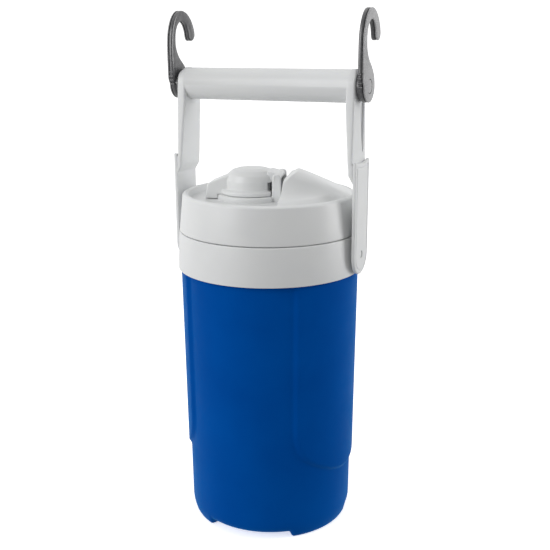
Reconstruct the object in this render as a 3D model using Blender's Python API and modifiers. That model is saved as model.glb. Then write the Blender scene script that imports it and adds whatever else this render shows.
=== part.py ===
"""Insulated half-gallon drinking jug with a screw lid, flip spout cap, swinging handle and hooks.

Units are metres in Blender and millimetres in the numbers below (MM converts). Z is up, the jug
stands on z = 0 and its axis is Z. The handle swings about an axis along X. Angles of the body's
sections are counted from -Y towards +X. The lid top is laid out in its own frame, turned by
LID_TURN about Z: x along the cap from the thumb tab to the fixed dome, y along the cap's hinge.
"""
import math

import bmesh
import bpy
from mathutils import Matrix, Vector

MM = 0.001

# ---- driving dimensions, mm ----
STEPS = 40                 # facets of a full turn
PANEL_RAISE = 2.0          # how far the two side panels stand out of the body
FOOT_CENTRES = (67.5, 187.5, 307.5)
BODY_R_TOP = 67.1          # body radius between the panels, at z 204
BODY_R_BASE = 64.8         # the same at z 11
SHELL_WALL = 2.4
COLLAR_LOW = 205.7
COLLAR_TOP = 234.5
PIVOT_Z = 220.7            # handle swing axis
BAR_Z = 343.9              # crossbar axis, also the hooks' axis
BAR_R = 12.0
ARM_END_R = 12.2           # the arm's rounded top, about the crossbar
ARM_OUT = 75.3
ARM_IN = 72.5
ARM_UPPER_OUT = 72.0
ARM_HALF_WIDTH = 15.0
HOOK_IN = 72.5
HOOK_OUT = 78.0
HOOK_SWEEP = 54.9          # the arm's outer face is set back inside this radius for the folded hook
PIVOT_R = 2.9              # handle stud
HOOK_PIN_R = 3.0
RUN = 0.06                 # radial running clearance
NECK_R = 63.0              # outside of the liner's threaded neck
NECK_TOP = 251.0
THREAD_PITCH = 6.0
THREAD_TURNS = 1.25
LID_LOW = 235.3
DECK_LOW = 255.2
DECK_TOP = 258.4
LID_TURN = 15.5            # degrees, lid layout against the handle
CAP_X = -13.3              # spout and cap centre in the lid frame
CAP_R = 20.5
SPOUT_R = 13.4
SPOUT_BORE = 11.0
HINGE_X = 8.0
HINGE_Z = 276.0
HINGE_R = 3.6
CAP_PIN_R = 1.5
VENT_Y = 15.9              # vent hole beside the spout, under the cap
DOME_X = 14.5              # the fixed dome starts here

WHITE = (0.80, 0.81, 0.83)
BLUE = (0.0, 0.09, 0.42)
GREY = (0.20, 0.20, 0.21)
CREAM = (0.83, 0.78, 0.60)
SILICONE = (0.62, 0.64, 0.66)
STEEL = (0.55, 0.55, 0.57)

for old in list(bpy.data.objects):
    bpy.data.objects.remove(old, do_unlink=True)


def new_collection(name):
    col = bpy.data.collections.new(name)
    bpy.context.scene.collection.children.link(col)
    return col


JUG = new_collection("water_jug")
CUTTERS = new_collection("cutters")


def material(name, rgb, rough, metal=0.0):
    mat = bpy.data.materials.new(name)
    mat.use_nodes = True
    bsdf = mat.node_tree.nodes["Principled BSDF"]
    bsdf.inputs["Base Color"].default_value = (*rgb, 1.0)
    bsdf.inputs["Roughness"].default_value = rough
    bsdf.inputs["Metallic"].default_value = metal
    return mat


def add_object(name, mesh, look=None):
    """Link a mesh as a part when it has a look, otherwise as a cutter."""
    obj = bpy.data.objects.new(name, mesh)
    if look is None:
        CUTTERS.objects.link(obj)
        obj.hide_render = True
        obj.display_type = "WIRE"
    else:
        JUG.objects.link(obj)
        mesh.materials.append(material(name, *look))
        mesh.shade_smooth()
        mesh.set_sharp_from_angle(angle=math.radians(35.0))
    return obj


def baked(obj):
    """Replace an object by the mesh it evaluates to, and return that mesh, welded."""
    depsgraph = bpy.context.evaluated_depsgraph_get()
    mesh = bpy.data.meshes.new_from_object(obj.evaluated_get(depsgraph))
    bpy.data.objects.remove(obj, do_unlink=True)
    bm = bmesh.new()
    bm.from_mesh(mesh)
    bmesh.ops.remove_doubles(bm, verts=bm.verts, dist=0.00001)
    bmesh.ops.holes_fill(bm, edges=[edge for edge in bm.edges if edge.is_boundary])
    bmesh.ops.recalc_face_normals(bm, faces=bm.faces)
    bm.to_mesh(mesh)
    bm.free()
    return mesh


def screwed(name, section, steps, angle=360.0, rise=0.0):
    """Sweep a (radius, z) section in mm about Z with a Screw modifier."""
    area = sum(a[0] * b[1] - b[0] * a[1] for a, b in zip(section, section[1:] + section[:1]))
    points = list(section) if area < 0.0 else list(reversed(section))
    closed = True
    for i in range(len(points)):
        if points[i][0] == 0.0 and points[i - 1][0] == 0.0:
            points = points[i:] + points[:i]
            closed = False
            break
    count = len(points)
    edges = [(i, (i + 1) % count) for i in range(count if closed else count - 1)]
    mesh = bpy.data.meshes.new(name)
    mesh.from_pydata([(r * MM, 0.0, z * MM) for r, z in points], edges, [])
    obj = bpy.data.objects.new(name, mesh)
    CUTTERS.objects.link(obj)
    screw = obj.modifiers.new("turn", "SCREW")
    screw.axis = "Z"
    screw.angle = math.radians(angle)
    screw.screw_offset = rise * MM
    screw.steps = steps
    screw.render_steps = steps
    screw.use_merge_vertices = True
    screw.merge_threshold = 0.00001
    return baked(obj)


def turned(name, section, look=None, centre=(0.0, 0.0), steps=STEPS):
    """A turned piece: a closed (radius, z) section about a vertical axis through centre."""
    mesh = screwed(name, section, steps)
    mesh.transform(Matrix.Translation((centre[0] * MM, centre[1] * MM, 0.0)))
    return add_object(name, mesh, look)


def plate(name, outline, axis, low, high, look=None, flare=None):
    """A flat outline as a filled 2D curve, extruded along an axis; flare widens it along its length.

    The outline is (y, z) for X and (x, z) for Y.
    """
    curve = bpy.data.curves.new(name, "CURVE")
    curve.dimensions = "2D"
    curve.fill_mode = "BOTH"
    curve.extrude = (high - low) / 2.0 * MM
    spline = curve.splines.new("POLY")
    spline.points.add(len(outline) - 1)
    for point, (u, v) in zip(spline.points, outline):
        point.co = (u * MM, v * MM, 0.0, 1.0)
    spline.use_cyclic_u = True
    obj = bpy.data.objects.new(name, curve)
    CUTTERS.objects.link(obj)
    mesh = baked(obj)
    stand = Matrix.Rotation(math.radians(90.0), 4, "X")
    if axis == "X":
        stand = Matrix.Rotation(math.radians(90.0), 4, "Z") @ stand
        mesh.transform(Matrix.Translation(((high + low) / 2.0 * MM, 0.0, 0.0)) @ stand)
    else:
        mesh.transform(Matrix.Translation((0.0, (high + low) / 2.0 * MM, 0.0)) @ stand)
    if flare:
        for vert in mesh.vertices:
            vert.co.y *= flare(vert.co.x / MM)
    return add_object(name, mesh, look)


def rod(name, radius, axis, low, high, centre, look=None, steps=32):
    """A cylinder along X, Y or Z; centre is its place across the axis."""
    bm = bmesh.new()
    bmesh.ops.create_cone(bm, cap_ends=True, segments=steps, radius1=radius * MM, radius2=radius * MM,
                          depth=(high - low) * MM)
    middle = (high + low) / 2.0
    turn = {"X": Matrix.Rotation(math.radians(90.0), 4, "Y"), "Y": Matrix.Rotation(math.radians(90.0), 4, "X"),
            "Z": Matrix.Identity(4)}[axis]
    place = {"X": (middle, centre[0], centre[1]), "Y": (centre[0], middle, centre[1]),
             "Z": (centre[0], centre[1], middle)}[axis]
    half_facet = Matrix.Rotation(math.pi / steps, 4, "Z")
    bmesh.ops.transform(bm, matrix=Matrix.Translation(Vector(place) * MM) @ turn @ half_facet, verts=bm.verts)
    mesh = bpy.data.meshes.new(name)
    bm.to_mesh(mesh)
    bm.free()
    return add_object(name, mesh, look)


def turned_pin(name, stations, centre, look, steps=24):
    """A turned pin along X through (x, radius) stations; centre is (y, z)."""
    low, high = stations[0][0], stations[-1][0]
    section = [(0.0, low)] + [(radius, x) for x, radius in stations] + [(0.0, high)]
    mesh = screwed(name, section, steps)
    mesh.transform(Matrix.Translation((0.0, centre[0] * MM, centre[1] * MM))
                   @ Matrix.Rotation(math.radians(90.0), 4, "Y"))
    return add_object(name, mesh, look)


def thread(name, root_r, crest_r, z_start, turns):
    """A trapezoid rib winding up a cylinder, right-handed; its root is sunk 0.5 mm into the wall."""
    sink = root_r + (0.5 if crest_r < root_r else -0.5)
    section = [(sink, z_start - 1.25), (crest_r, z_start - 0.55), (crest_r, z_start + 0.55),
               (sink, z_start + 1.25)]
    mesh = screwed(name, section, int(STEPS * turns), 360.0 * turns, THREAD_PITCH * turns)
    mesh.transform(Matrix.Rotation(math.radians(0.4 * 360.0 / STEPS), 4, "Z"))
    return add_object(name, mesh)


def lofted_ring(name, section, look, angles):
    """Loft one closed (radius, z) section per angle into a ring; the sections differ."""
    bm = bmesh.new()
    rings = []
    for angle in angles:
        a = math.radians(angle)
        rings.append([bm.verts.new((r * math.sin(a) * MM, -r * math.cos(a) * MM, z * MM))
                      for r, z in section(angle)])
    rows = len(rings[0])
    for left, right in zip(rings, rings[1:] + rings[:1]):
        for j in range(rows):
            k = (j + 1) % rows
            bm.faces.new((left[j], right[j], right[k], left[k]))
    bmesh.ops.recalc_face_normals(bm, faces=bm.faces)
    mesh = bpy.data.meshes.new(name)
    bm.to_mesh(mesh)
    bm.free()
    return add_object(name, mesh, look)


def combine(obj, tool, operation):
    mod = obj.modifiers.new(operation.lower() + "_" + tool.name, "BOOLEAN")
    mod.object = tool
    mod.operation = operation
    mod.solver = "EXACT"
    return obj


def cut(obj, *tools):
    for tool in tools:
        combine(obj, tool, "DIFFERENCE")
    return obj


def join(obj, *tools):
    for tool in tools:
        combine(obj, tool, "UNION")
    return obj


def turn_mesh(obj, degrees):
    """Turn a piece drawn in the lid frame to where it stands on the jug."""
    obj.data.transform(Matrix.Rotation(math.radians(degrees), 4, "Z"))
    return obj


def in_lid_frame(*objs):
    for obj in objs:
        turn_mesh(obj, LID_TURN)


def pivot(obj, point):
    """Move a piece's origin onto its joint axis without moving its surface."""
    origin = Vector(point) * MM
    obj.data.transform(Matrix.Translation(-origin))
    obj.location = origin
    return obj


def lid_point(x, y, z):
    return Matrix.Rotation(math.radians(LID_TURN), 3, "Z") @ Vector((x, y, z))


# ---- body: blow-moulded shell with two raised side panels and three feet ----
def fold(angle):
    """Angle from the front or back centre line, 0 to 90."""
    t = angle % 180.0
    return min(t, 180.0 - t)


def body_radius(z):
    return BODY_R_BASE + (BODY_R_TOP - BODY_R_BASE) * (z - 11.0) / 193.0


def panel_low_edge(angle):
    y = BODY_R_TOP * math.cos(math.radians(fold(angle)))
    if y > 53.0:
        return 86.0
    curve = 46.0 + 67.3 - math.sqrt(67.3 ** 2 - y ** 2)
    return min(curve + 20.0 * (y / 51.0) ** 20, 86.0)


def on_foot(angle):
    return any(abs((angle - c + 180.0) % 360.0 - 180.0) < 27.0 for c in FOOT_CENTRES)


def shell_section(angle):
    raised = PANEL_RAISE * max(0.0, min(1.0, (fold(angle) - 37.5) / 3.75))
    edge = panel_low_edge(angle)
    outer = [(66.2, 213.0), (66.2, 205.2), (body_radius(204.0) - 0.6 + raised * 0.7, 204.9)]
    for z in (203.6, 150.0, 110.0, edge + 2.6):
        outer.append((body_radius(z) + raised, z))
    outer.append((body_radius(edge), edge))
    if on_foot(angle):
        low = [(64.8, 11.4), (64.2, 7.0), (62.8, 2.2), (60.8, 0.0), (48.0, 0.0), (46.5, 1.2), (45.5, 4.4)]
    else:
        low = [(64.8, 11.4), (63.9, 7.9), (61.4, 5.3), (58.5, 4.4), (48.0, 4.4), (46.5, 4.4), (45.5, 4.4)]
    inner = [(12.0, 4.4), (12.0, 6.8), (57.0, 6.8), (61.2, 9.6), (62.4, 14.0), (64.0, 203.0), (64.0, 213.0)]
    return outer + low + inner


columns = {7.5 * i for i in range(48)}
for centre in FOOT_CENTRES:
    columns |= {(centre - 26.25) % 360.0, (centre + 26.25) % 360.0}
for edge in (37.5, 142.5, 217.5, 322.5):
    columns |= {edge, edge + (3.75 if edge in (37.5, 217.5) else -3.75)}
shell = lofted_ring("outer_shell", shell_section, (BLUE, 0.38), sorted(columns))

foam = turned("foam_insulation", [(0.0, 15.6), (48.2, 15.6), (51.9, 19.3), (58.7, 226.0), (58.7, 228.0),
                                   (63.4, 228.0), (63.4, 203.0), (62.0, 14.2), (60.9, 10.1), (56.9, 7.2),
                                   (12.3, 7.2), (12.3, 9.5), (0.0, 9.5)], (CREAM, 0.9))

liner = turned("inner_liner", [(61.0, NECK_TOP), (NECK_R, NECK_TOP), (NECK_R, 236.2), (65.0, 236.2),
                                (65.0, 234.9), (60.9, 234.9), (60.9, 231.6), (58.4, 229.0), (58.4, 226.0),
                                (51.5, 19.4), (48.1, 16.0), (0.0, 16.0), (0.0, 18.0), (47.4, 18.0),
                                (49.5, 20.1), (56.4, 227.6), (61.0, 233.0)], (WHITE, 0.35))
join(liner, thread("neck_thread", NECK_R, NECK_R + 1.6, 240.6, THREAD_TURNS))

collar = turned("collar_ring", [(69.0, COLLAR_TOP), (69.8, 233.8), (71.0, 208.6), (71.5, 207.6),
                                 (71.5, 206.3), (71.0, COLLAR_LOW), (67.1, COLLAR_LOW), (67.1, 226.0),
                                 (66.4, 231.3), (61.3, 231.3), (61.3, COLLAR_TOP)], (WHITE, 0.35))
for side, sign in (("left", -1.0), ("right", 1.0)):
    low, high = sorted((sign * 68.5, sign * 72.2))
    join(collar, rod("boss_" + side, 8.0, "X", low, high, (0.0, PIVOT_Z), steps=24))
for side, sign in (("left", -1.0), ("right", 1.0)):
    low, high = sorted((sign * 66.0, sign * 73.0))
    cut(collar, rod("boss_hole_" + side, PIVOT_R + 0.3, "X", low, high, (0.0, PIVOT_Z), steps=24))

plug = turned("foam_fill_plug", [(0.0, 2.4), (13.4, 2.4), (14.4, 3.0), (14.4, 4.1), (11.7, 4.1),
                                  (11.7, 8.8), (0.0, 8.8)], (BLUE, 0.45), steps=32)

# ---- screw lid ----
lid = turned("lid_shell", [(0.0, DECK_TOP), (61.6, DECK_TOP), (62.4, 262.4), (63.1, 263.5), (64.2, 264.0),
                            (65.4, 263.8), (66.3, 263.1), (66.8, 262.0), (69.1, 236.3), (68.6, LID_LOW),
                            (66.2, LID_LOW), (65.4, 237.6), (65.4, 253.0), (65.4, DECK_LOW),
                            (0.0, DECK_LOW)], (WHITE, 0.35))

dome = turned("dome", [(0.0, 281.0), (16.0, 281.0), (22.0, 280.4), (27.0, 279.0), (38.1, 274.4),
                        (48.5, 269.4), (58.0, 264.6), (62.2, 262.4), (62.0, 257.0), (0.0, 257.0)])
dome_side = plate("dome_side", [(DOME_X, 250.0), (80.0, 250.0), (80.0, 290.0), (24.0, 290.0),
                                (24.0, 281.2), (DOME_X, 276.6)], "Y", -80.0, 80.0)
combine(dome, dome_side, "INTERSECT")
scoops = []
for side, sign in (("near", -1.0), ("far", 1.0)):
    scoop = rod("scoop_" + side, 77.0, "X", -20.0, 120.0, (sign * 68.0, 345.4), steps=48)
    for vert in scoop.data.vertices:
        vert.co.z -= 0.3 * vert.co.x
    scoops.append(scoop)
cut(dome, *scoops)
dome_room = turned("dome_room", [(0.0, 275.0), (22.0, 275.0), (30.0, 271.0), (45.0, 262.5), (50.0, 258.5),
                                  (50.0, 250.0), (0.0, 250.0)])
room_side = plate("room_side", [(18.0, 240.0), (80.0, 240.0), (80.0, 285.0), (18.0, 285.0)], "Y", -30.0, 30.0)
combine(dome_room, room_side, "INTERSECT")
pedestal = turned("pedestal", [(0.0, 262.0), (26.2, 262.0), (27.0, 261.2), (27.0, 257.0), (0.0, 257.0)],
                   centre=(CAP_X, 0.0))
pedestal_side = plate("pedestal_side", [(-60.0, 240.0), (1.0, 240.0), (1.0, 285.0), (-60.0, 285.0)],
                      "Y", -40.0, 40.0)
combine(pedestal, pedestal_side, "INTERSECT")
lug_outline = [(HINGE_X - HINGE_R, 257.0), (HINGE_X + HINGE_R, 257.0)]
lug_outline += [(HINGE_X + HINGE_R * math.cos(math.radians(a)), HINGE_Z + HINGE_R * math.sin(math.radians(a)))
                for a in range(0, 181, 20)]
lug_near = plate("lug_near", lug_outline, "Y", -17.4, -12.4)
lug_far = plate("lug_far", lug_outline, "Y", 12.4, 17.4)
pin_hole = rod("pin_hole", CAP_PIN_R + RUN, "Y", -19.0, 19.0, (HINGE_X, HINGE_Z))
spout_hole = rod("spout_hole", SPOUT_R + 0.3, "Z", 240.0, 270.0, (CAP_X, 0.0), steps=32)
vent_hole = rod("vent_hole", 1.5, "Z", 240.0, 270.0, (CAP_X, VENT_Y), steps=16)
join(lid, dome, pedestal, lug_near, lug_far)
cut(lid, dome_room, pin_hole, spout_hole, vent_hole)
join(lid, thread("lid_thread", 65.4, 63.8, 240.6 - THREAD_PITCH / 2, THREAD_TURNS))

inner_plate = turned("lid_inner_plate", [(0.0, 248.6), (57.6, 248.6), (60.3, 251.2), (60.3, 253.2),
                                         (64.7, 253.2), (64.7, 254.9), (58.3, 254.9), (58.3, 252.0),
                                         (56.8, 250.6), (0.0, 250.6)], (WHITE, 0.4))
plate_vent = rod("plate_vent", 1.5, "Z", 240.0, 256.0, (CAP_X, 26.0), steps=16)
cut(inner_plate, spout_hole, plate_vent)
gasket = turned("lid_gasket", [(61.3, 251.3), (64.0, 251.3), (64.0, 252.9), (61.3, 252.9)], (SILICONE, 0.6),
                 steps=32)

spout = turned("spout", [(SPOUT_BORE, 246.4), (SPOUT_R, 246.4), (SPOUT_R, 252.4), (17.0, 252.4),
                          (17.0, 254.8), (SPOUT_R, 254.8), (SPOUT_R, 273.2), (12.9, 274.0), (11.5, 274.0),
                          (SPOUT_BORE, 273.4)], (WHITE, 0.35), centre=(CAP_X, 0.0), steps=32)
o_ring = turned("spout_o_ring", [(13.8, 251.0), (16.6, 251.0), (16.6, 252.1), (13.8, 252.1)],
                 (SILICONE, 0.6), centre=(CAP_X, 0.0), steps=32)
valve = turned("vent_valve", [(0.0, 255.4), (1.0, 255.4), (1.25, 255.8), (1.25, 262.3), (1.95, 262.3),
                               (1.6, 263.2), (0.0, 263.4)],
                (SILICONE, 0.6), centre=(CAP_X, VENT_Y), steps=16)

# ---- flip cap: round cup, thumb tab, hinge barrel ----
cap = turned("flip_cap", [(0.0, 282.0), (12.0, 281.7), (16.5, 280.9), (19.4, 279.2), (CAP_R, 276.6),
                           (CAP_R, 266.2), (24.3, 265.4), (24.3, 262.8), (0.0, 262.8)], (WHITE, 0.35),
              centre=(CAP_X, 0.0), steps=STEPS)
tab = plate("tab", [(-48.6, 259.6), (-41.6, 259.6), (-41.6, 263.4), (-22.0, 263.4), (-22.0, 280.1),
                    (-26.5, 279.4), (-47.2, 269.9), (-48.6, 268.6)], "Y", -10.5, 10.5,
            flare=lambda x: 1.0 + 0.004 * (-22.0 - x))
tab_room = plate("tab_room", [(-46.6, 250.0), (-26.0, 250.0), (-26.0, 277.2), (-26.5, 277.0),
                              (-46.0, 268.2), (-46.6, 267.6)], "Y", -8.4, 8.4)
cap_room = turned("cap_room", [(0.0, 279.8), (16.0, 279.2), (18.3, 277.4), (18.3, 255.0), (0.0, 255.0)],
                   centre=(CAP_X, 0.0), steps=STEPS)
room_limit = plate("room_limit", [(-40.0, 250.0), (1.5, 250.0), (1.5, 285.0), (-40.0, 285.0)], "Y", -25.0, 25.0)
combine(cap_room, room_limit, "INTERSECT")
strap = plate("strap", [(-6.0, 273.0), (8.0, 273.0), (8.0, 279.5), (-6.0, 279.7)], "Y", -11.9, 11.9)
barrel = rod("barrel", HINGE_R, "Y", -12.0, 12.0, (HINGE_X, HINGE_Z), steps=24)
relief = plate("relief", [(-0.1, 240.0), (30.0, 240.0), (30.0, 272.4), (-0.1, 272.4)], "Y", -40.0, 40.0)
join(cap, tab, strap, barrel)
barrel_hole = rod("barrel_hole", CAP_PIN_R + RUN, "Y", -19.0, 19.0, (HINGE_X, HINGE_Z))
cut(cap, relief, barrel_hole, tab_room, cap_room)
cap_seal = turned("flip_cap_seal", [(0.0, 271.0), (9.9, 271.0), (10.5, 272.2), (10.5, 274.6), (14.0, 274.6),
                                     (14.0, 276.2), (10.5, 276.6), (10.5, 279.2), (0.0, 279.2)],
                   (SILICONE, 0.6), centre=(CAP_X, 0.0), steps=32)
hinge_pin = rod("cap_hinge_pin", CAP_PIN_R, "Y", -17.2, 17.2, (HINGE_X, HINGE_Z), (STEEL, 0.3, 1.0))

in_lid_frame(dome, dome_side, *scoops, dome_room, room_side, pedestal, pedestal_side, lug_near, lug_far,
             pin_hole, spout_hole, vent_hole, plate_vent, spout, o_ring, valve, cap, tab, tab_room, cap_room, room_limit,
             strap, barrel, relief, barrel_hole, cap_seal, hinge_pin)
hinge_at = lid_point(HINGE_X, 0.0, HINGE_Z)
for piece in (cap, cap_seal, hinge_pin):
    pivot(piece, hinge_at)
for piece in (lid, inner_plate, gasket, spout, o_ring, valve):
    pivot(piece, (0.0, 0.0, 0.0))

# ---- swinging handle ----
arm_outline = [(ARM_HALF_WIDTH * math.sin(math.radians(a)), PIVOT_Z - ARM_HALF_WIDTH * math.cos(math.radians(a)))
               for a in range(-90, 91, 15)]
arm_outline += [(ARM_HALF_WIDTH, 290.0)]
arm_outline += [(ARM_END_R * math.cos(math.radians(a)), BAR_Z + ARM_END_R * math.sin(math.radians(a)))
                for a in range(0, 181, 18)]
arm_outline += [(-ARM_HALF_WIDTH, 290.0)]
handle = rod("handle", BAR_R, "X", -68.0, 68.0, (0.0, BAR_Z), (WHITE, 0.35), steps=40)
for side, sign in (("left", -1.0), ("right", 1.0)):
    low, high = sorted((sign * 60.0, sign * 80.0))
    arm = plate("arm_" + side, arm_outline, "X", low, high)
    profile = [(sign * x, z) for x, z in ((ARM_IN, 200.0), (ARM_OUT, 200.0), (ARM_OUT, 358.0), (65.0, 358.0),
                                          (65.0, 330.0), (68.7, 281.0), (ARM_IN, 275.5))]
    side_view = plate("arm_profile_" + side, profile, "Y", -20.0, 20.0)
    combine(arm, side_view, "INTERSECT")
    low, high = sorted((sign * ARM_UPPER_OUT, sign * 80.0))
    cut(arm, rod("hook_sweep_" + side, HOOK_SWEEP, "X", low, high, (0.0, BAR_Z), steps=72))
    join(handle, arm)
    low, high = sorted((sign * 70.0, sign * 78.0))
    cut(handle, rod("stud_hole_" + side, PIVOT_R + RUN, "X", low, high, (0.0, PIVOT_Z), steps=32))
    low, high = sorted((sign * 58.0, sign * 78.0))
    cut(handle, rod("hook_pin_hole_" + side, HOOK_PIN_R + 0.3, "X", low, high, (0.0, BAR_Z), steps=32))
pivot(handle, (0.0, 0.0, PIVOT_Z))

# ---- hooks, pins ----
HOOK_OUTLINE = [(-13.3, 348.0), (-13.6, 356.0), (-13.6, 372.0), (-12.2, 382.5), (-8.2, 391.0), (-2.6, 396.4),
                (3.4, 398.1), (10.6, 396.4), (17.2, 391.4), (21.4, 384.6), (22.4, 379.4), (19.6, 376.0),
                (15.6, 375.4), (12.8, 377.4), (11.4, 382.4), (8.2, 387.0), (3.6, 388.9), (-1.2, 387.4),
                (-4.6, 383.0), (-6.0, 377.0), (-4.6, 370.0), (-0.5, 363.5), (6.0, 357.6), (10.4, 351.0),
                (11.4, 343.9)]
HOOK_OUTLINE += [(11.4 * math.cos(math.radians(a)), BAR_Z + 11.4 * math.sin(math.radians(a)))
                 for a in range(-20, -181, -20)]
for side, sign in (("left", -1.0), ("right", 1.0)):
    low, high = sorted((sign * HOOK_IN, sign * HOOK_OUT))
    hook = plate("hook_" + side, HOOK_OUTLINE, "X", low, high, (GREY, 0.35, 0.3))
    low, high = sorted((sign * 70.0, sign * 80.0))
    cut(hook, rod("hook_bore_" + side, HOOK_PIN_R + RUN, "X", low, high, (0.0, BAR_Z), steps=32))
    low, high = sorted((sign * 76.4, sign * 80.0))
    cut(hook, rod("hook_counterbore_" + side, 5.3, "X", low, high, (0.0, BAR_Z), steps=32))
    pivot(hook, (0.0, 0.0, BAR_Z))
    pin = turned_pin("hook_pivot_pin_" + side, [(sign * x, r) for x, r in (
        (58.4, HOOK_PIN_R), (76.5, HOOK_PIN_R), (76.5, 5.0), (77.6, 5.0), (77.9, 4.6))],
        (0.0, BAR_Z), (STEEL, 0.35, 1.0))
    pivot(pin, (0.0, 0.0, BAR_Z))
    stud = turned_pin("handle_pivot_pin_" + side, [(sign * x, r) for x, r in (
        (63.8, 5.2), (66.7, 5.2), (66.7, PIVOT_R), (74.4, PIVOT_R), (74.7, 2.5))],
        (0.0, PIVOT_Z), (WHITE, 0.4))
    pivot(stud, (0.0, 0.0, PIVOT_Z))
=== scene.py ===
"""Insulated drinking jug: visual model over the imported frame.

The object is drawn in millimetres and MM turns them into metres; the floor, lights and camera are in
metres. Z is up and the jug's axis is Z. Angles round the body count from -Y towards +X. The lid top
is laid out in its own frame, turned by LID_TURN about Z.
"""

import math

import bmesh
import bpy
from mathutils import Matrix, Vector


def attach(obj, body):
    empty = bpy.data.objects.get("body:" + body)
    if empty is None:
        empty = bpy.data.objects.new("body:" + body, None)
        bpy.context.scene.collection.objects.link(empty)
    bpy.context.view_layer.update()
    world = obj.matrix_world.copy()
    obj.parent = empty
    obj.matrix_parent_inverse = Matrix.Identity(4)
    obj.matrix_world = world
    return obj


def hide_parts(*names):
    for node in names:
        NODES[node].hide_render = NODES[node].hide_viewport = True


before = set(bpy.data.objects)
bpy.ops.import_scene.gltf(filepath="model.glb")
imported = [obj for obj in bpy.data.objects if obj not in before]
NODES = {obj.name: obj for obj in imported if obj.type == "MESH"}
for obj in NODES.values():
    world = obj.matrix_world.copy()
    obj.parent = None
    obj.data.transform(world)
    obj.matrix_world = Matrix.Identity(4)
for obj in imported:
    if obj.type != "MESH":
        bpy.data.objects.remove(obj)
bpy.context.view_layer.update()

MM = 0.001
BODY_R_TOP = 67.1
BODY_R_BASE = 64.8
PANEL_RAISE = 2.0             # how far the side panels stand out
FOOT_CENTRES = (67.5, 187.5, 307.5)
PIVOT_Z = 220.7
BAR_Z = 343.9
BAR_R = 12.0
HOOK_SWEEP = 54.9
LID_TURN = 15.5
CAP_X = -13.3
CAP_R = 20.5
CAP_ROOM_R = 18.3             # inside of the flip cap
HINGE_X = 8.0
HINGE_Z = 276.0
PIN_BORE_R = 1.56
KNUCKLE_R = 2.7
KNUCKLE_HALF = 11.9           # half the knuckle's length
DOME_X = 14.5                 # the fixed dome starts here
PEDESTAL_EDGE_X = 4.6         # the spout's pedestal is cut off here
SPOUT_BORE_R = 13.7
VENT_Y = 15.9
VENT_R = 1.5
ARM_HALF_WIDTH = 15.0
ARM_END_R = 12.2              # the arm's rounded top, about the crossbar
STUD_BORE_R = 2.96
HOOK_END_R = 11.4             # the hook's rounded foot, about the crossbar
HOOK_FACE_X = 77.9            # the outer face lies beyond this; it takes a lighter grey as painted light
RIVET_R = 5.1
SHARP_DEG = 35.0              # edges sharper than this stay crisp

pieces = bpy.data.collections.new("water_jug_visual")
bpy.context.scene.collection.children.link(pieces)


# ---- helpers ----
def ease(x, low=0.0, high=1.0):
    """Smooth step from 0 at low to 1 at high."""
    t = max(0.0, min(1.0, (x - low) / (high - low)))
    return t * t * (3.0 - 2.0 * t)


def mix(a, b, t):
    return a + (b - a) * t


def add_object(name, mesh, smooth=SHARP_DEG):
    obj = bpy.data.objects.new(name, mesh)
    pieces.objects.link(obj)
    mesh.shade_smooth()
    mesh.set_sharp_from_angle(angle=math.radians(smooth))
    return obj


def object_from(bm, name, smooth=SHARP_DEG):
    """Finish a bmesh drawn in mm."""
    bmesh.ops.recalc_face_normals(bm, faces=bm.faces)
    bmesh.ops.scale(bm, vec=(MM, MM, MM), verts=bm.verts)
    mesh = bpy.data.meshes.new(name)
    bm.to_mesh(mesh)
    bm.free()
    return add_object(name, mesh, smooth)


def bake(obj, smooth=SHARP_DEG):
    """Apply an object's modifiers."""
    depsgraph = bpy.context.evaluated_depsgraph_get()
    mesh = bpy.data.meshes.new_from_object(obj.evaluated_get(depsgraph))
    obj.modifiers.clear()
    obj.data = mesh
    mesh.shade_smooth()
    if smooth is not None:
        mesh.set_sharp_from_angle(angle=math.radians(smooth))
    return obj


def rounded(points, radius, segments):
    """Round the corners of a closed flat outline, with one radius for each corner."""
    out = []
    count = len(points)
    for i, point in enumerate(points):
        here = Vector(point)
        r = radius[i]
        if r <= 0.0:
            out.append((here.x, here.y))
            continue
        back = Vector(points[i - 1]) - here
        ahead = Vector(points[(i + 1) % count]) - here
        turn = back.angle(ahead)
        if turn > math.radians(176.0):
            out.append((here.x, here.y))
            continue
        reach = min(r / math.tan(turn / 2.0), back.length * 0.45, ahead.length * 0.45)
        start = here + back.normalized() * reach
        end = here + ahead.normalized() * reach
        for k in range(segments + 1):
            t = k / segments
            spot = start * (1 - t) ** 2 + here * 2 * t * (1 - t) + end * t ** 2
            out.append((spot.x, spot.y))
    return out


def turned_bmesh(section, centre, steps):
    """A closed (radius, z) section turned about a vertical axis."""
    bm = bmesh.new()
    poles = {}
    rings = []
    for i in range(steps):
        a = 2 * math.pi * i / steps
        ring = []
        for r, z in section:
            if r <= 0.0001:
                if z not in poles:
                    poles[z] = bm.verts.new((centre[0], centre[1], z))
                ring.append(poles[z])
            else:
                ring.append(bm.verts.new((centre[0] + r * math.sin(a),
                                          centre[1] - r * math.cos(a), z)))
        rings.append(ring)
    rows = len(section)
    for left, right in zip(rings, rings[1:] + rings[:1]):
        for j in range(rows):
            k = (j + 1) % rows
            face = []
            for vert in (left[j], right[j], right[k], left[k]):
                if vert not in face:
                    face.append(vert)
            if len(face) > 2:
                bm.faces.new(face)
    return bm


def turned(name, section, steps):
    return object_from(turned_bmesh(section, (0.0, 0.0), steps), name)


def loft_bmesh(rings):
    """Bridge equal closed rings and cap both ends."""
    bm = bmesh.new()
    rows = [[bm.verts.new(p) for p in ring] for ring in rings]
    count = len(rows[0])
    for a, b in zip(rows, rows[1:]):
        for i in range(count):
            k = (i + 1) % count
            bm.faces.new((a[i], a[k], b[k], b[i]))
    bm.faces.new(rows[0])
    bm.faces.new(list(reversed(rows[-1])))
    return bm


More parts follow.
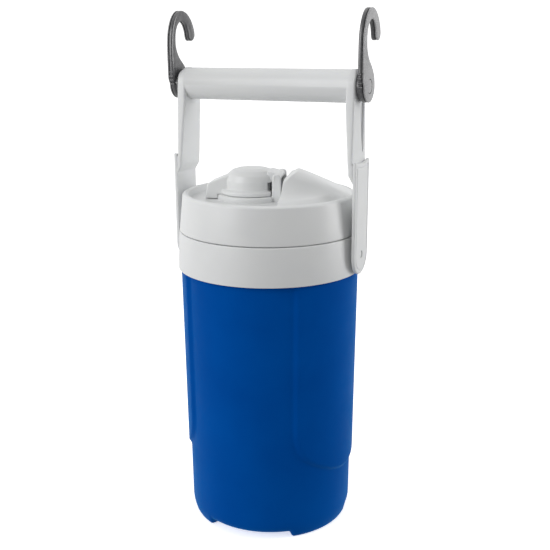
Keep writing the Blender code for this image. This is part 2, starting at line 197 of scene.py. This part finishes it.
def extruded_bmesh(outline, axis, low=0.0, high=0.0, round_edge=0.0, stations=None):
    """An outline extruded along an axis, from low to high or through (inset, place) stations."""
    segments = 3
    place = {"X": lambda u, v, w: (w, u, v),
             "Y": lambda u, v, w: (u, w, v),
             "Z": lambda u, v, w: (u, v, w)}[axis]
    count = len(outline)
    inward = []
    area = sum(outline[i][0] * outline[(i + 1) % count][1]
               - outline[(i + 1) % count][0] * outline[i][1] for i in range(count))
    for i in range(count):
        back = Vector(outline[i]) - Vector(outline[i - 1])
        ahead = Vector(outline[(i + 1) % count]) - Vector(outline[i])
        tangent = (back.normalized() + ahead.normalized()).normalized()
        normal = Vector((-tangent.y, tangent.x)) * (1.0 if area > 0 else -1.0)
        inward.append(normal)
    rings = []
    if stations is None and round_edge <= 0.0:
        stations = [(0.0, low), (0.0, high)]
    if stations is None:
        stations = []
        for k in range(segments + 1):
            a = math.pi / 2 * k / segments
            stations.append((round_edge * (1 - math.sin(a)), low + round_edge * (1 - math.cos(a))))
        for k in range(segments, -1, -1):
            a = math.pi / 2 * k / segments
            stations.append((round_edge * (1 - math.sin(a)), high - round_edge * (1 - math.cos(a))))
    for inset, w in stations:
        rings.append([place(u + n.x * inset, v + n.y * inset, w) for (u, v), n in zip(outline, inward)])
    return loft_bmesh(rings)


def cylinder(name, radius, axis, low, high, centre, steps):
    """A cutter or a plain core for a Boolean."""
    outline = [(centre[0] + radius * math.cos(2 * math.pi * (i + 0.5) / steps),
                centre[1] + radius * math.sin(2 * math.pi * (i + 0.5) / steps)) for i in range(steps)]
    return object_from(extruded_bmesh(outline, axis, low, high), name)


def boolean(obj, operation, *tools):
    """Apply Booleans at once and remove the tools."""
    for tool in tools:
        mod = obj.modifiers.new(tool.name, "BOOLEAN")
        mod.object = tool
        mod.operation = operation
        mod.solver = "EXACT"
        bake(obj)
        bpy.data.objects.remove(tool, do_unlink=True)
    return obj


def merge(name, *parts):
    """Put several bmeshes into one object."""
    bm = bmesh.new()
    for part in parts:
        mesh = bpy.data.meshes.new("part")
        bmesh.ops.recalc_face_normals(part, faces=part.faces)
        part.to_mesh(mesh)
        part.free()
        bm.from_mesh(mesh)
        bpy.data.meshes.remove(mesh)
    bmesh.ops.scale(bm, vec=(MM, MM, MM), verts=bm.verts)
    mesh = bpy.data.meshes.new(name)
    bm.to_mesh(mesh)
    bm.free()
    return add_object(name, mesh)


def fuse(obj, voxel):
    """Fuse overlapping solids into one skin and soften its edges into small fillets."""
    remesh = obj.modifiers.new("fuse", "REMESH")
    remesh.mode = "VOXEL"
    remesh.voxel_size = voxel * MM
    soften = obj.modifiers.new("soften", "SMOOTH")
    soften.factor = 0.5
    soften.iterations = 5
    return bake(obj, None)


def in_lid_frame(*objs):
    for obj in objs:
        obj.data.transform(Matrix.Rotation(math.radians(LID_TURN), 4, "Z"))


# ---- materials ----
def principled(name, rgb, rough):
    mat = bpy.data.materials.new(name)
    mat.use_nodes = True
    bsdf = mat.node_tree.nodes["Principled BSDF"]
    bsdf.inputs["Base Color"].default_value = (*rgb, 1.0)
    bsdf.inputs["Roughness"].default_value = rough
    return mat, bsdf


def noise(tree, scale, detail, coords):
    node = tree.nodes.new("ShaderNodeTexNoise")
    node.inputs["Scale"].default_value = scale
    node.inputs["Detail"].default_value = detail
    tree.links.new(coords, node.inputs["Vector"])
    return node


def plastic(name, rgb, tint, rough, rough_spread, grain_scale, grain_height,
            coat=0.0, scatter=0.0):
    """Moulded plastic: faint colour drift, roughness drift, fine mould grain and a slow sink wave."""
    mat, bsdf = principled(name, rgb, rough)
    tree = mat.node_tree
    coords = tree.nodes.new("ShaderNodeTexCoord").outputs["Object"]
    drift = noise(tree, 22.0, 3.0, coords)
    ramp = tree.nodes.new("ShaderNodeValToRGB")
    ramp.color_ramp.elements[0].position = 0.35
    ramp.color_ramp.elements[0].color = (*tint, 1.0)
    ramp.color_ramp.elements[1].position = 0.65
    ramp.color_ramp.elements[1].color = (*rgb, 1.0)
    tree.links.new(drift.outputs["Fac"], ramp.inputs["Fac"])
    tree.links.new(ramp.outputs["Color"], bsdf.inputs["Base Color"])
    wear = noise(tree, 60.0, 4.0, coords)
    spread = tree.nodes.new("ShaderNodeMapRange")
    spread.inputs["From Min"].default_value = 0.3
    spread.inputs["From Max"].default_value = 0.7
    spread.inputs["To Min"].default_value = rough - rough_spread
    spread.inputs["To Max"].default_value = rough + rough_spread
    tree.links.new(wear.outputs["Fac"], spread.inputs["Value"])
    tree.links.new(spread.outputs["Result"], bsdf.inputs["Roughness"])
    grain = noise(tree, grain_scale, 2.0, coords)
    bump = tree.nodes.new("ShaderNodeBump")
    bump.inputs["Strength"].default_value = 0.25
    bump.inputs["Distance"].default_value = grain_height * MM
    tree.links.new(grain.outputs["Fac"], bump.inputs["Height"])
    sink = noise(tree, 14.0, 1.0, coords)
    wave = tree.nodes.new("ShaderNodeBump")
    wave.inputs["Strength"].default_value = 0.3
    wave.inputs["Distance"].default_value = 0.35 * MM
    tree.links.new(sink.outputs["Fac"], wave.inputs["Height"])
    tree.links.new(bump.outputs["Normal"], wave.inputs["Normal"])
    tree.links.new(wave.outputs["Normal"], bsdf.inputs["Normal"])
    if coat:
        bsdf.inputs["Coat Weight"].default_value = coat
        bsdf.inputs["Coat Roughness"].default_value = 0.25
    if scatter:
        bsdf.inputs["Subsurface Weight"].default_value = scatter
        bsdf.inputs["Subsurface Radius"].default_value = (0.004, 0.004, 0.005)
        bsdf.inputs["Subsurface Scale"].default_value = 1.0
    bsdf.inputs["IOR"].default_value = 1.49
    return mat


white = plastic("white_plastic", (0.76, 0.77, 0.77), (0.73, 0.74, 0.745), 0.36, 0.05, 900.0, 0.02,
                scatter=0.08)
blue = plastic("blue_plastic", (0.0, 0.073, 0.36), (0.0, 0.064, 0.33), 0.46, 0.06, 700.0, 0.03)
blue_bsdf = blue.node_tree.nodes["Principled BSDF"]
blue_bsdf.inputs["Specular IOR Level"].default_value = 0.08
blue_bsdf.inputs["Specular Tint"].default_value = (0.1, 0.6, 1.0, 1.0)
blue_bsdf.inputs["IOR"].default_value = 1.2
blue_bsdf.inputs["Sheen Weight"].default_value = 0.45
blue_bsdf.inputs["Sheen Roughness"].default_value = 0.4
blue_bsdf.inputs["Sheen Tint"].default_value = (0.0, 0.45, 1.0, 1.0)
# Hook greys: the dark grey is the hooks' own colour and also painted shade on their inner faces and edges. The
# lighter copy is painted light on the outer faces. Both carry the same fine speckle.
grey = plastic("hook_plastic", (0.085, 0.085, 0.09), (0.055, 0.055, 0.06), 0.28, 0.10, 520.0, 0.20,
               coat=0.5)
lit_face_grey = plastic("hook_face_painted_light", (0.42, 0.42, 0.43), (0.28, 0.28, 0.285), 0.34, 0.12, 1100.0,
                   0.30, coat=0.3)
for mat, scale in ((grey, 420.0), (lit_face_grey, 1500.0)):
    speck = next(n for n in mat.node_tree.nodes if n.type == "VALTORGB").color_ramp
    speck.elements[0].position = 0.42
    speck.elements[1].position = 0.58
    next(n for n in mat.node_tree.nodes if n.type == "TEX_NOISE").inputs["Scale"].default_value = scale
    mat.node_tree.nodes["Principled BSDF"].inputs["Specular IOR Level"].default_value = 0.7
foam = plastic("poured_foam", (0.80, 0.74, 0.55), (0.72, 0.66, 0.47), 0.9, 0.04, 260.0, 0.6)
rubber = plastic("soft_silicone", (0.58, 0.60, 0.62), (0.54, 0.56, 0.58), 0.62, 0.06, 400.0, 0.05)


def paint(obj, mat):
    obj.data.materials.clear()
    obj.data.materials.append(mat)
    return obj


def carry(node, mat):
    """Give a carried-over CAD node its finished material."""
    obj = NODES[node]
    for slot in obj.material_slots:
        slot.material = mat


def stand_for(obj, body, node, mat):
    """A finished piece that replaces a CAD node."""
    paint(obj, mat)
    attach(obj, body)
    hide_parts(node)
    return obj


def go_with(obj, body, mat):
    """A further piece of a node that another piece already replaces."""
    paint(obj, mat)
    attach(obj, body)
    return obj


# ---- body shell: side panels and feet are formed in one lofted skin ----
def fold(angle):
    t = angle % 180.0
    return min(t, 180.0 - t)


def body_radius(z):
    return BODY_R_BASE + (BODY_R_TOP - BODY_R_BASE) * (z - 11.0) / 193.0


def panel_height(angle, z):
    """How far the side panel stands out at a point, 0 to PANEL_RAISE."""
    away = math.radians(90.0 - fold(angle))
    across = BODY_R_TOP * math.sin(away)
    curve = 46.0 + 67.3 - math.sqrt(67.3 ** 2 - min(across, 60.0) ** 2)
    side_gap = BODY_R_TOP * (math.radians(51.5) - away)
    slope = 1.0 / math.sqrt(1.0 + (across / 67.3) ** 2)
    low_gap = (z - curve) * slope
    soft = 14.0
    blend = max(soft - abs(side_gap - low_gap), 0.0) / soft
    gap = min(side_gap, low_gap) - blend * blend * soft * 0.25
    width = mix(5.0, 4.2, ease(side_gap - low_gap, -10.0, 10.0))
    return PANEL_RAISE * ease(gap, 0.0, width)


def foot_mask(angle):
    best = 0.0
    for centre in FOOT_CENTRES:
        off = abs((angle - centre + 180.0) % 360.0 - 180.0)
        best = max(best, ease(29.6 - off, 0.0, 2.8))
    return best


def shell_section(angle):
    outer = [(66.2, 213.0), (66.2, 205.4)]
    for z in (205.3, 204.9, 204.2, 203.2):
        out = 0.9 * (1.0 - ease(z, 205.6, 203.0)) if z > 203.2 else 0.0
        outer.append((body_radius(z) + panel_height(angle, z) - out, z))
    z = 200.0
    while z > 98.0:
        outer.append((body_radius(z) + panel_height(angle, z), z))
        z -= 4.0
    while z > 38.0:
        outer.append((body_radius(z) + panel_height(angle, z), z))
        z -= 1.0
    for z in (34.0, 28.0, 22.0, 16.0):
        outer.append((body_radius(z), z))
    foot = foot_mask(angle)
    plain = [(64.8, 11.4), (64.4, 8.9), (63.2, 6.9), (61.6, 5.4), (59.9, 4.6), (58.5, 4.4), (56.0, 4.4),
             (52.0, 4.4), (48.0, 4.4), (47.4, 4.4), (46.5, 4.4), (45.5, 4.4)]
    stood = [(64.8, 11.4), (64.5, 8.4), (63.9, 5.4), (63.1, 2.6), (62.2, 0.9), (61.2, 0.2), (60.0, 0.0),
             (54.0, 0.0), (48.6, 0.0), (47.4, 0.35), (46.5, 1.5), (45.5, 4.4)]
    low = [(mix(a[0], b[0], foot), mix(a[1], b[1], foot)) for a, b in zip(plain, stood)]
    inner = [(30.0, 4.4), (12.2, 4.4), (12.0, 4.6), (12.0, 6.8), (57.0, 6.8), (61.2, 9.6), (62.4, 14.0),
             (64.0, 203.0), (64.0, 213.0)]
    return outer + low + inner


def lofted_shell(name, steps):
    bm = bmesh.new()
    rings = []
    for i in range(steps):
        angle = 360.0 * i / steps
        a = math.radians(angle)
        rings.append([bm.verts.new((r * math.sin(a), -r * math.cos(a), z))
                      for r, z in shell_section(angle)])
    rows = len(rings[0])
    for left, right in zip(rings, rings[1:] + rings[:1]):
        for j in range(rows):
            k = (j + 1) % rows
            bm.faces.new((left[j], right[j], right[k], left[k]))
    return object_from(bm, name, 50.0)


stand_for(lofted_shell("body_shell", 288), "jug_body", "outer_shell", blue)

# ---- collar ----
collar = turned("collar", rounded([
    (61.3, 234.7), (69.9, 234.7), (71.35, 205.7), (67.1, 205.7), (67.1, 226.0), (66.4, 231.3), (61.3, 231.3)],
    [0.4, 1.1, 0.7, 0.3, 0.3, 0.3, 0.3], 5), steps=240)
bosses = []
for sign in (-1.0, 1.0):
    low, high = sorted((sign * 68.5, sign * 72.2))
    bosses.append(cylinder("boss", 8.0, "X", low, high, (0.0, PIVOT_Z), 48))
boolean(collar, "UNION", *bosses)
holes = []
for sign in (-1.0, 1.0):
    low, high = sorted((sign * 66.0, sign * 73.0))
    holes.append(cylinder("hole", 3.2, "X", low, high, (0.0, PIVOT_Z), 48))
boolean(collar, "DIFFERENCE", *holes)
stand_for(collar, "jug_body", "collar_ring", white)

# ---- lid: skirt, rim and deck in one turned piece; dome, pedestal and hinge lugs on the deck ----
lid_skirt = turned("lid_skirt", rounded([
    (0.0, 258.4), (61.2, 258.4), (62.3, 263.2), (64.4, 264.0), (66.75, 262.6), (69.6, 235.15),
    (66.3, 235.15), (65.4, 237.6), (65.4, 255.2), (0.0, 255.2)],
    [0.0, 1.0, 1.0, 1.8, 1.8, 1.1, 0.4, 0.4, 0.5, 0.0], 5), steps=240)


def dome_profile(r):
    """Height of the lid's dome at a distance from the axis."""
    stations = [(0.0, 281.1), (14.0, 281.1), (20.0, 280.8), (25.5, 279.9), (31.0, 277.8), (38.1, 274.7),
                (48.5, 270.0), (56.0, 266.6), (60.0, 264.9), (63.8, 263.3)]
    for (a, za), (b, zb) in zip(stations, stations[1:]):
        if r <= b:
            return mix(za, zb, (r - a) / (b - a))
    return stations[-1][1]


def dome_height(x, y):
    """The fixed half: a spine that falls to the rim, scooped on both sides."""
    r = math.hypot(x, y)
    z = dome_profile(r)
    lean = ease(x, DOME_X, 25.0)
    z = min(z, mix(276.8, 281.2, lean))
    beside = max(abs(y) - 21.0, 0.0)
    scoop = 4.6 * ease(beside, 0.0, 17.0) * ease(62.0 - r, 0.0, 20.0)
    scoop += 3.2 * ease(beside, 0.0, 14.0) * ease(r, 54.0, 61.5)
    return z - scoop


def dome_bmesh():
    """A height field over the part of the disc beyond DOME_X, closed below at the deck."""
    bm = bmesh.new()
    columns, rows = 96, 140
    grid = []
    for i in range(columns + 1):
        u = i / columns
        line = []
        x = mix(DOME_X, 63.7, u)
        half = math.sqrt(63.8 ** 2 - x * x)
        for j in range(rows + 1):
            y = half * math.sin(math.pi * (j / rows - 0.5))
            line.append((x, y))
        grid.append(line)
    top = [[bm.verts.new((x, y, dome_height(x, y))) for x, y in line] for line in grid]
    base = [[bm.verts.new((x, y, 256.5)) for x, y in line] for line in grid]
    for i in range(columns):
        for j in range(rows):
            bm.faces.new((top[i][j], top[i + 1][j], top[i + 1][j + 1], top[i][j + 1]))
            bm.faces.new((base[i][j], base[i][j + 1], base[i + 1][j + 1], base[i + 1][j]))
    for i in range(columns):
        bm.faces.new((top[i][0], base[i][0], base[i + 1][0], top[i + 1][0]))
        bm.faces.new((top[i][rows], top[i + 1][rows], base[i + 1][rows], base[i][rows]))
    for j in range(rows):
        bm.faces.new((top[0][j], top[0][j + 1], base[0][j + 1], base[0][j]))
        bm.faces.new((top[columns][j], base[columns][j], base[columns][j + 1], top[columns][j + 1]))
    bmesh.ops.remove_doubles(bm, verts=bm.verts, dist=0.001)
    return bm


lug_outline = rounded([(HINGE_X - 3.6, 257.0), (HINGE_X + 3.6, 257.0), (HINGE_X + 3.2, HINGE_Z + 2.9),
                       (HINGE_X - 3.2, HINGE_Z + 2.9)], [0.0, 0.0, 2.8, 2.8], 8)
pedestal = turned_bmesh(rounded([(0.0, 262.3), (27.0, 262.3), (27.6, 256.5), (0.0, 256.5)],
                                [0.0, 1.2, 0.0, 0.0], 4), (CAP_X, 0.0), 128)
bmesh.ops.bisect_plane(pedestal, geom=pedestal.verts[:] + pedestal.edges[:] + pedestal.faces[:],
                       plane_co=(PEDESTAL_EDGE_X, 0.0, 0.0), plane_no=(1.0, 0.0, 0.0), clear_outer=True)
bmesh.ops.holes_fill(pedestal, edges=[e for e in pedestal.edges if e.is_boundary])
lid_top = merge("lid_top", dome_bmesh(), pedestal,
                extruded_bmesh(lug_outline, "Y", -17.4, -12.4, 0.6),
                extruded_bmesh(lug_outline, "Y", 12.4, 17.4, 0.6))
fuse(lid_top, 0.45)
boolean(lid_top, "DIFFERENCE", cylinder("bore", SPOUT_BORE_R, "Z", 240.0, 270.0, (CAP_X, 0.0), 96),
        cylinder("vent", VENT_R, "Z", 240.0, 270.0, (CAP_X, VENT_Y), 32),
        cylinder("pin_bore", PIN_BORE_R, "Y", -19.0, 19.0, (HINGE_X, HINGE_Z), 32))
boolean(lid_skirt, "DIFFERENCE", cylinder("bore", SPOUT_BORE_R, "Z", 240.0, 270.0, (CAP_X, 0.0), 96),
        cylinder("vent", VENT_R, "Z", 240.0, 270.0, (CAP_X, VENT_Y), 32))
in_lid_frame(lid_top, lid_skirt)
stand_for(lid_skirt, "lid", "lid_shell", white)
go_with(lid_top, "lid", white)

# ---- flip cap ----
cup = turned_bmesh(rounded([(0.0, 281.9), (10.5, 281.6), (15.4, 280.2), (19.0, 277.2), (CAP_R, 272.6),
                            (CAP_R, 266.4), (24.3, 265.4), (24.3, 262.5), (CAP_ROOM_R, 262.5),
                            (CAP_ROOM_R, 276.4), (0.0, 278.8)],
                           [0.0, 2.0, 2.0, 2.0, 2.0, 0.6, 0.8, 0.4, 0.4, 1.6, 0.0], 4),
                   (CAP_X, 0.0), 128)
tab = extruded_bmesh(rounded([(-48.3, 258.75), (-24.0, 258.75), (-24.0, 279.2), (-27.0, 278.4),
                              (-45.4, 270.8), (-46.8, 269.0)], [0.5, 0.2, 0.2, 3.0, 1.5, 1.5], 5),
                     "Y", -10.8, 10.8, 0.9)
strap = extruded_bmesh([(0.5, 273.0), (8.0, 273.0), (8.0, 278.6), (0.5, 280.4)], "Y",
                       -KNUCKLE_HALF, KNUCKLE_HALF, 0.5)
knuckle = [(HINGE_X + KNUCKLE_R * math.cos(math.radians(a)),
            HINGE_Z + KNUCKLE_R * math.sin(math.radians(a))) for a in range(0, 360, 10)]
flip_cap = merge("flip_cap_shell", cup, tab, strap,
                 extruded_bmesh(knuckle, "Y", -KNUCKLE_HALF, KNUCKLE_HALF, 0.4))
fuse(flip_cap, 0.35)
spout_relief = extruded_bmesh([(-0.1, 240.0), (30.0, 240.0), (30.0, 272.4), (-0.1, 272.4)],
                              "Y", -14.8, 14.8)
lug_relief = extruded_bmesh([(3.5, 240.0), (30.0, 240.0), (30.0, 272.4), (3.5, 272.4)],
                            "Y", -40.0, 40.0)
boolean(flip_cap, "DIFFERENCE",
        object_from(spout_relief, "spout_relief"), object_from(lug_relief, "lug_relief"),
        cylinder("cap_room", CAP_ROOM_R, "Z", 240.0, 276.4, (CAP_X, 0.0), 96),
        cylinder("pedestal_room", 27.45, "Z", 240.0, 262.45, (CAP_X, 0.0), 128),
        cylinder("pin_bore", PIN_BORE_R, "Y", -19.0, 19.0, (HINGE_X, HINGE_Z), 32))
in_lid_frame(flip_cap)
stand_for(flip_cap, "flip_cap", "flip_cap", white)


# ---- handle ----
def lower_arm_outline(inset):
    """The lower arm's plate: round foot about the pivot, straight sides, top edge about the crossbar."""
    r = ARM_HALF_WIDTH - inset
    points = []
    for k in range(33):
        a = math.radians(-90.0 + 180.0 * k / 32)
        points.append((r * math.sin(a), PIVOT_Z - r * math.cos(a)))
    sweep = HOOK_SWEEP + inset
    top = BAR_Z - math.sqrt(sweep ** 2 - r * r)
    for k in range(1, 14):
        points.append((r, mix(PIVOT_Z, top, k / 14)))
    for k in range(21):
        y = mix(r, -r, k / 20)
        points.append((y, BAR_Z - math.sqrt(sweep ** 2 - y * y)))
    for k in range(13, 0, -1):
        points.append((-r, mix(PIVOT_Z, top, k / 14)))
    return points


def lower_arm(sign):
    stations = [(0.6, 72.5), (0.15, 72.7), (0.0, 73.1), (0.0, 74.2), (0.2, 74.8), (0.7, 75.15), (1.3, 75.25),
                (2.3, 75.25), (2.6, 75.0), (2.8, 74.75), (3.2, 74.75), (3.45, 75.0), (3.8, 75.27), (4.6, 75.3)]
    return loft_bmesh([[(sign * x, y, z) for y, z in lower_arm_outline(inset)] for inset, x in stations])


def upper_arm(sign):
    """Horizontal rounded-rectangle sections from the chamfer up over the crossbar's end."""
    levels = [275.5, 278.0, 281.0, 284.0, 288.0, 289.0, 300.0, 312.0, 324.0, 330.0, 336.0, 340.0, 343.9]
    levels += [BAR_Z + ARM_END_R * math.sin(math.radians(a))
               for a in (12, 24, 36, 46, 56, 64, 71, 77, 82, 86, 89)]
    rings = []
    for z in levels:
        if z < 281.0:
            inner = mix(72.5, 68.7, (z - 275.5) / 5.5)
        else:
            inner = mix(68.7, 65.0, min((z - 281.0) / 49.0, 1.0))
        outer = 73.0 if z < 288.5 else 72.0
        half = ARM_HALF_WIDTH
        if z > 290.0:
            half = mix(ARM_HALF_WIDTH, ARM_END_R, min((z - 290.0) / (BAR_Z - 290.0), 1.0))
        if z > BAR_Z:
            half = math.sqrt(max(ARM_END_R ** 2 - (z - BAR_Z) ** 2, 0.0))
            tuck = 2.2 * ease(z, BAR_Z + 7.0, BAR_Z + ARM_END_R)
            outer -= tuck
            inner += tuck * 0.2
        half = max(half, 0.25)
        r = min(1.6, half * 0.6, (outer - inner) * 0.35)
        ring = []
        for cx, cy, start in ((outer - r, half - r, 0), (inner + r, half - r, 90),
                              (inner + r, -half + r, 180), (outer - r, -half + r, 270)):
            for k in range(7):
                a = math.radians(start + 90.0 * k / 6)
                ring.append((sign * (cx + r * math.cos(a)), cy + r * math.sin(a), z))
        rings.append(ring)
    return loft_bmesh(rings)


bar_outline = [(BAR_R * math.cos(2 * math.pi * i / 96), BAR_Z + BAR_R * math.sin(2 * math.pi * i / 96))
               for i in range(96)]
slot_outline = rounded([(-1.5, 333.0), (9.4, 333.0), (9.2, 298.0), (7.6, 295.5), (6.0, 299.0)],
                       [1.0, 1.0, 0.6, 0.8, 0.8], 4)
handle = object_from(extruded_bmesh(bar_outline, "X", -68.0, 68.0), "handle_moulding")
boolean(handle, "UNION", *[object_from(upper_arm(sign), "upper_arm") for sign in (-1.0, 1.0)])
boolean(handle, "UNION", *[object_from(lower_arm(sign), "lower_arm") for sign in (-1.0, 1.0)])
for sign in (-1.0, 1.0):
    low, high = sorted((sign * 70.0, sign * 78.0))
    boolean(handle, "DIFFERENCE", cylinder("stud_bore", STUD_BORE_R, "X", low, high, (0.0, PIVOT_Z), 48))
    low, high = sorted((sign * 58.0, sign * 78.0))
    boolean(handle, "DIFFERENCE", cylinder("hook_pin_bore", 3.3, "X", low, high, (0.0, BAR_Z), 48))
    low, high = sorted((sign * 70.4, sign * 78.0))
    boolean(handle, "DIFFERENCE", object_from(extruded_bmesh(slot_outline, "X", low, high), "slot"))
stand_for(handle, "handle", "handle", white)

# ---- hooks ----
HOOK_POINTS = [(-13.3, 348.0), (-13.6, 356.0), (-13.6, 372.0), (-12.2, 382.5), (-8.2, 391.0), (-2.6, 396.4),
               (3.4, 398.1), (10.6, 396.4), (17.2, 391.4), (21.4, 384.6), (22.4, 379.4), (19.6, 376.0),
               (16.2, 375.6), (13.8, 377.6), (12.4, 382.6), (9.2, 387.8), (3.8, 390.2), (-2.2, 388.4),
               (-6.0, 383.6), (-7.4, 377.0), (-6.6, 370.0), (-2.6, 363.5), (4.6, 357.4), (9.9, 351.0),
               (11.4, 343.9)]
HOOK_POINTS += [(HOOK_END_R * math.cos(math.radians(a)), BAR_Z + HOOK_END_R * math.sin(math.radians(a)))
                for a in range(-20, -181, -20)]


def smooth_outline(points, per=4):
    """A closed Catmull-Rom curve through the points."""
    out = []
    count = len(points)
    for i in range(count):
        p0, p1, p2, p3 = (Vector(points[(i + k) % count]) for k in (-1, 0, 1, 2))
        for k in range(per):
            t = k / per
            spot = 0.5 * ((2 * p1) + (p2 - p0) * t + (2 * p0 - 5 * p1 + 4 * p2 - p3) * t * t
                          + (3 * p1 - p0 - 3 * p2 + p3) * t ** 3)
            out.append((spot.x, spot.y))
    return out


def hook(name, sign):
    """A thin plate with a groove round its edge, a boss at the pivot and thumb ridges in front."""
    stations = [(1.1, 74.1), (0.35, 74.4), (0.0, 75.0), (0.0, 76.6), (0.25, 77.1), (0.95, 77.35),
                (0.95, 77.85), (0.2, 77.95), (0.0, 78.2), (0.0, 78.6), (0.15, 78.85), (0.5, 79.0)]
    obj = object_from(extruded_bmesh(smooth_outline(HOOK_POINTS), "X",
                                     stations=[(inset, sign * x) for inset, x in stations]), name)
    low, high = sorted((sign * 72.6, sign * 74.8))
    boolean(obj, "UNION", cylinder("boss", 10.6, "X", low, high, (0.0, BAR_Z), 64))
    for y, z in ((-11.5, 343.6), (-12.6, 346.6), (-13.2, 349.6), (-13.35, 352.6)):
        low, high = sorted((sign * 74.3, sign * 77.3))
        boolean(obj, "UNION", cylinder("ridge", 0.85, "X", low, high, (y, z), 16))
    low, high = sorted((sign * 70.0, sign * 80.0))
    boolean(obj, "DIFFERENCE", cylinder("bore", 3.06, "X", low, high, (0.0, BAR_Z), 48))
    low, high = sorted((sign * 76.4, sign * 80.0))
    boolean(obj, "DIFFERENCE", cylinder("counterbore", 5.3, "X", low, high, (0.0, BAR_Z), 48))
    return obj


for name, sign, node in (("hook_l", -1.0, "hook_left"), ("hook_r", 1.0, "hook_right")):
    piece = stand_for(hook(name, sign), node, node, grey)
    piece.data.materials.append(lit_face_grey)
    # Faces beyond HOOK_FACE_X take the lighter copy as painted light; the rest stay dark grey as painted
    # shade.
    for polygon in piece.data.polygons:
        if polygon.center.x * sign > HOOK_FACE_X * MM:
            polygon.material_index = 1

# The rivet heads take the lighter grey, painted light like the hooks' outer faces.
for name, sign, node in (("rivet_headn_left", -1.0, "hook_pivot_pin_left"),
                         ("rivet_head_right", 1.0, "hook_pivot_pin_right")):
    rivet = [(RIVET_R * math.cos(math.radians(a)), BAR_Z + RIVET_R * math.sin(math.radians(a)))
             for a in range(0, 360, 6)]
    stations = [(0.0, sign * 77.95), (0.0, sign * 78.6), (0.3, sign * 78.9), (1.0, sign * 79.0)]
    go_with(object_from(extruded_bmesh(rivet, "X", stations=stations), name), "handle", lit_face_grey)

# ---- CAD nodes that stay ----
for node in ("inner_liner", "lid_inner_plate", "spout", "handle_pivot_pin_left", "handle_pivot_pin_right"):
    carry(node, white)
for node in ("lid_gasket", "spout_o_ring", "vent_valve", "flip_cap_seal"):
    carry(node, rubber)
for node in ("hook_pivot_pin_left", "hook_pivot_pin_right"):
    carry(node, grey)
carry("cap_hinge_pin", white)
carry("foam_insulation", foam)
carry("foam_fill_plug", blue)

# ---- floor, lights, camera ----
sweep_profile = [(0.5, 0.0), (1.5, 0.0), (3.5, 0.0), (5.0, 0.0)]
sweep_profile += [(5.0 + 1.2 * math.sin(math.radians(a)), 1.2 - 1.2 * math.cos(math.radians(a)))
                  for a in range(10, 91, 10)] + [(6.2, 1.7)]
floor_bm = bmesh.new()
rings = [[floor_bm.verts.new((r * math.cos(math.radians(7.5 * i)), r * math.sin(math.radians(7.5 * i)), z))
          for i in range(48)] for r, z in sweep_profile]
floor_bm.faces.new(rings[0])
for inner, outer in zip(rings, rings[1:]):
    for i in range(48):
        k = (i + 1) % 48
        floor_bm.faces.new((inner[i], outer[i], outer[k], inner[k]))
floor_mesh = bpy.data.meshes.new("floor")
floor_bm.to_mesh(floor_mesh)
floor_bm.free()
floor_mesh.shade_smooth()
floor = bpy.data.objects.new("floor", floor_mesh)
bpy.context.scene.collection.objects.link(floor)
for name, glow in (("pale_floor", 0.62), ("pale_backdrop", 0.8)):
    mat, bsdf = principled(name, (0.93, 0.93, 0.93), 0.9)
    bsdf.inputs["Specular IOR Level"].default_value = 0.1
    bsdf.inputs["Emission Color"].default_value = (1.0, 1.0, 1.0, 1.0)
    bsdf.inputs["Emission Strength"].default_value = glow
    floor_mesh.materials.append(mat)
for polygon in floor_mesh.polygons:
    polygon.material_index = 1 if polygon.center.length > 3.0 else 0
floor.visible_diffuse = False
floor.visible_glossy = False

world = bpy.data.worlds.new("studio")
world.use_nodes = True
world.node_tree.nodes["Background"].inputs["Color"].default_value = (1.0, 1.0, 1.0, 1.0)
sky = world.node_tree
facing = sky.nodes.new("ShaderNodeVectorMath")
facing.operation = "DOT_PRODUCT"
facing.inputs[1].default_value = (0.66, -0.75, 0.0)
sky.links.new(sky.nodes.new("ShaderNodeTexCoord").outputs["Generated"], facing.inputs[0])
falloff = sky.nodes.new("ShaderNodeMapRange")
falloff.inputs["From Min"].default_value = -1.0
falloff.inputs["From Max"].default_value = 1.0
falloff.inputs["To Min"].default_value = 0.98
falloff.inputs["To Max"].default_value = 0.27
sky.links.new(facing.outputs["Value"], falloff.inputs["Value"])
sky.links.new(falloff.outputs["Result"], sky.nodes["Background"].inputs["Strength"])
bpy.context.scene.world = world


def area_light(name, place, target, size, power):
    light = bpy.data.lights.new(name, "AREA")
    light.shape = "RECTANGLE"
    light.size, light.size_y = size
    light.energy = power
    obj = bpy.data.objects.new(name, light)
    bpy.context.scene.collection.objects.link(obj)
    obj.location = place
    obj.rotation_euler = (Vector(target) - Vector(place)).to_track_quat("-Z", "Y").to_euler()
    return obj


area_light("key_left", (-1.1, -1.75, 0.95), (0.0, 0.0, 0.22), (1.3, 1.6), 22.0)
area_light("fill_right", (1.5, 0.65, 0.6), (0.0, 0.0, 0.2), (0.8, 1.4), 13.0)
area_light("top", (-0.2, 0.2, 1.9), (0.0, 0.0, 0.2), (1.2, 1.2), 2.0)

camera = bpy.data.cameras.new("camera")
camera.lens = 57.75
camera.sensor_width = 36.0
camera.shift_x = 0.00936
camera_object = bpy.data.objects.new("camera", camera)
bpy.context.scene.collection.objects.link(camera_object)
camera_object.matrix_world = (Matrix.Translation((0.2792, -0.6126, 0.3787))
                              @ Matrix.Rotation(math.radians(24.5), 4, "Z")
                              @ Matrix.Rotation(math.radians(90.0 - 15.139), 4, "X")
                              @ Matrix.Rotation(math.radians(-0.309), 4, "Z"))
bpy.context.scene.camera = camera_object
bpy.context.scene.view_settings.view_transform = "Standard"
